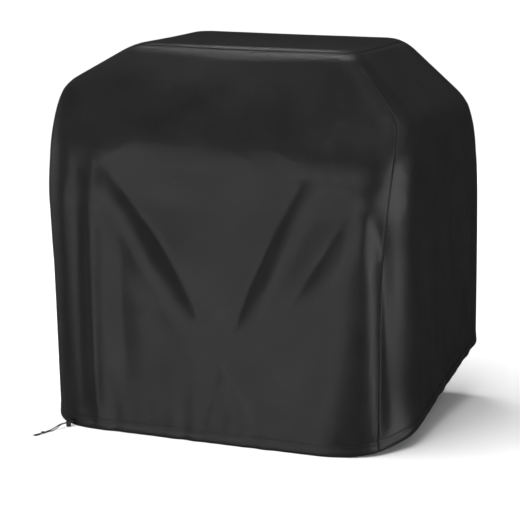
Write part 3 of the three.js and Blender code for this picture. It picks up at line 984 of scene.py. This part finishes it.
def make_lock_body(plastic):
    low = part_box("cord_lock_body")[0][2]
    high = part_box("cord_lock_body")[1][2]
    profile = [
        (0, low),
        (0.0054, low),
        (0.0062, low + 0.0004),
        (LOCK_RADIUS, low + 0.0012),
        (LOCK_RADIUS, low + 0.0030),
        (LOCK_RADIUS, high - 0.0062),
        (LOCK_RADIUS, high - 0.0012),
        (0.0061, high - 0.0003),
        (0.0056, high),
        (0.0049, high),
        (0.0047, high - 0.0004),
        (0.0047, low + 0.0018),
        (0, low + 0.0018),
    ]
    body = turned("cord_lock_barrel", profile, plastic, 96)
    ribbed(body, low + 0.0011, high - 0.0061, 16, 0.0005, LOCK_RADIUS)
    wide, deep, tall = CORD_SLOT
    cut_away(body, box_tool((-wide, -deep, CORD_HEIGHT - tall), (wide, deep, CORD_HEIGHT + tall)))
    round_edges(body, 0.00022)
    body.data.transform(upright_at(LOCK_REACH))
    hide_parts("cord_lock_body")
    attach(body, "cord_lock")
    return body


def make_plunger(plastic):
    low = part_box("cord_lock_plunger")[0][2]
    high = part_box("cord_lock_plunger")[1][2]
    collar = high - 0.0025
    profile = [
        (0, low),
        (0.0040, low),
        (0.0044, low + 0.0004),
        (0.0044, collar),
        (0.0052, collar),
        (0.0056, collar + 0.0004),
        (0.0056, high - 0.0010),
        (0.0053, high - 0.0003),
        (0.0047, high),
        (0.0036, high - 0.0001),
        (0.0022, high - 0.0004),
        (0, high - 0.0006),
    ]
    piece = turned("cord_lock_button", profile, plastic, 96)
    ribbed(piece, collar + 0.0002, high - 0.0009, 24, 0.0003, 0.0055)
    slot_low = low + 0.0015
    slot_high = CORD_HEIGHT + 0.0049
    cut_away(piece, box_tool((-0.00345, -0.02, slot_low), (0.00345, 0.02, slot_high)))
    round_edges(piece, 0.00015)
    piece.data.transform(upright_at(LOCK_REACH))
    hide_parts("cord_lock_plunger")
    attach(piece, "plunger")
    return piece


def make_spring():
    """The coil under the plunger, which shortens by the plunger's travel when that is pressed."""
    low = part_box("cord_lock_spring")[0][2]
    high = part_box("cord_lock_spring")[1][2]
    share = np.linspace(0, 1, SPRING_TURNS * SPRING_STEPS + 1)
    angle = 2 * np.pi * SPRING_TURNS * share
    height = low + SPRING_WIRE + share * (high - low - 2 * SPRING_WIRE)
    path = np.stack([SPRING_RADIUS * np.cos(angle), SPRING_RADIUS * np.sin(angle), height], -1)
    piece = tube("cord_lock_coil", path, SPRING_WIRE, steel_material())
    piece.data.transform(upright_at(LOCK_REACH))
    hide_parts("cord_lock_spring")
    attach(piece, "cord_lock")
    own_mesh(piece)
    return piece


# ---- Studio --------------------------------------------------------------------------------------


def make_floor():
    """A wide, pale studio floor, in rings that grow outwards."""
    radii = (0.0, 1.5, 4.0, 10.0, 60.0)
    sides = 64
    vertices = [(0, 0, -FLOOR_GAP)]
    for radius in radii[1:]:
        for k in range(sides):
            angle = 2 * math.pi * k / sides
            vertices.append((radius * math.cos(angle), radius * math.sin(angle), -FLOOR_GAP))
    faces = [(0, 1 + k, 1 + (k + 1) % sides) for k in range(sides)]
    for ring in range(len(radii) - 2):
        inner, outer = 1 + ring * sides, 1 + (ring + 1) * sides
        for k in range(sides):
            faces.append((inner + k, outer + k, outer + (k + 1) % sides, inner + (k + 1) % sides))
    floor = new_object("studio_floor", vertices, faces, floor_material())
    floor.visible_glossy = False


def add_softbox(name, place, target, size, power):
    data = bpy.data.lights.new(name, "AREA")
    data.shape = "RECTANGLE"
    data.size, data.size_y = size
    data.energy = power
    lamp = bpy.data.objects.new(name, data)
    lamp.location = place
    lamp.rotation_euler = (Vector(place) - Vector(target)).to_track_quat("Z", "Y").to_euler()
    scene.collection.objects.link(lamp)


def make_lights():
    """Six soft boxes, each with its place, target, size and power, a broad sun and a faint background."""
    add_softbox("front", (-0.85, -3.7, 0.28), (0.0, -0.3, 0.40), (1.9, 0.75), 45)
    add_softbox("right", (3.3, -0.7, 0.45), (0.4, 0.0, 0.5), (1.2, 0.9), 48)
    add_softbox("back", (-1.0, 4.2, 0.45), (0.0, 0.3, 0.45), (1.4, 0.85), 13)
    add_softbox("left", (-3.8, 0.6, 0.45), (-0.5, 0.0, 0.45), (1.4, 0.85), 4)
    add_softbox("hip", (2.3, -0.6, 3.2), (0.4, -0.2, 0.9), (0.8, 0.8), 11)
    add_softbox("top_edge", (-0.75, 1.05, 3.5), (0.2, -0.2, 1.0), (1.0, 0.25), 30)
    sun = bpy.data.lights.new("soft_sun", "SUN")
    sun.energy = 4.6
    sun.angle = math.radians(75)
    lamp = bpy.data.objects.new("soft_sun", sun)
    lamp.rotation_euler = Vector((-0.40, -0.50, 1.0)).to_track_quat("Z", "Y").to_euler()
    lamp.visible_glossy = False
    scene.collection.objects.link(lamp)
    world = bpy.data.worlds.new("studio")
    world.use_nodes = True
    background = world.node_tree.nodes["Background"]
    background.inputs["Color"].default_value = (1, 1, 1, 1)
    background.inputs["Strength"].default_value = 0.006
    scene.world = world
    scene.view_settings.view_transform = "Standard"


# ---- Making everything ---------------------------------------------------------------------------


def make_cords():
    braid = cord_material()
    knot = make_knot(braid)
    tails = [make_tail("left", -1, braid), make_tail("right", 1, braid)]
    for name, side in (("left", -1), ("right", 1)):
        piece, path = make_strand(name, side, braid)
    return braid


def make_fabric():
    fabric, lining = fabric_material(), lining_material()
    tape, thread = binding_material(), thread_material()
    bindings = [make_corner_binding(corner, tape) for corner in range(4)]
    top_binding = make_top_binding(tape)
    for side, name in enumerate(SIDES):
        panel = make_panel(side, fabric, lining)
        hem = make_hem(side, fabric)
        stitches = make_stitching(f"{name}_hem_stitching", hem_lines(side), thread)
        seam = make_stitching(f"{CORNERS[side]}_seam_stitching", seam_lines(side), thread)
        pieces = [hem, stitches, seam, bindings[side]]
        for piece in (panel, *pieces):
            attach(piece, "cover")
    top = make_top_panel(fabric, lining)
    stitches = make_stitching("top_seam_stitching", top_lines(), thread)
    for piece in (top, top_binding, stitches):
        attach(piece, "cover")


def dress_cad_nodes(braid, enamel):
    """Gives the CAD nodes that stay, all inside the hem, their materials."""
    looks = {
        "drawcord_in_hem": braid,
        "left_eyelet_washer": enamel,
        "right_eyelet_washer": enamel,
    }
    for node, material in looks.items():
        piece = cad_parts[node]
        piece.data.materials.clear()
        piece.data.materials.append(material)


make_camera()
braid = make_cords()
make_fabric()
enamel = enamel_material()
for name, side in (("left", -1), ("right", 1)):
    make_eyelet(name, side * EYELET_OFFSET, enamel)
plastic = plastic_material()
make_lock_body(plastic)
make_plunger(plastic)
make_spring()
dress_cad_nodes(braid, enamel)
make_floor()
make_lights()
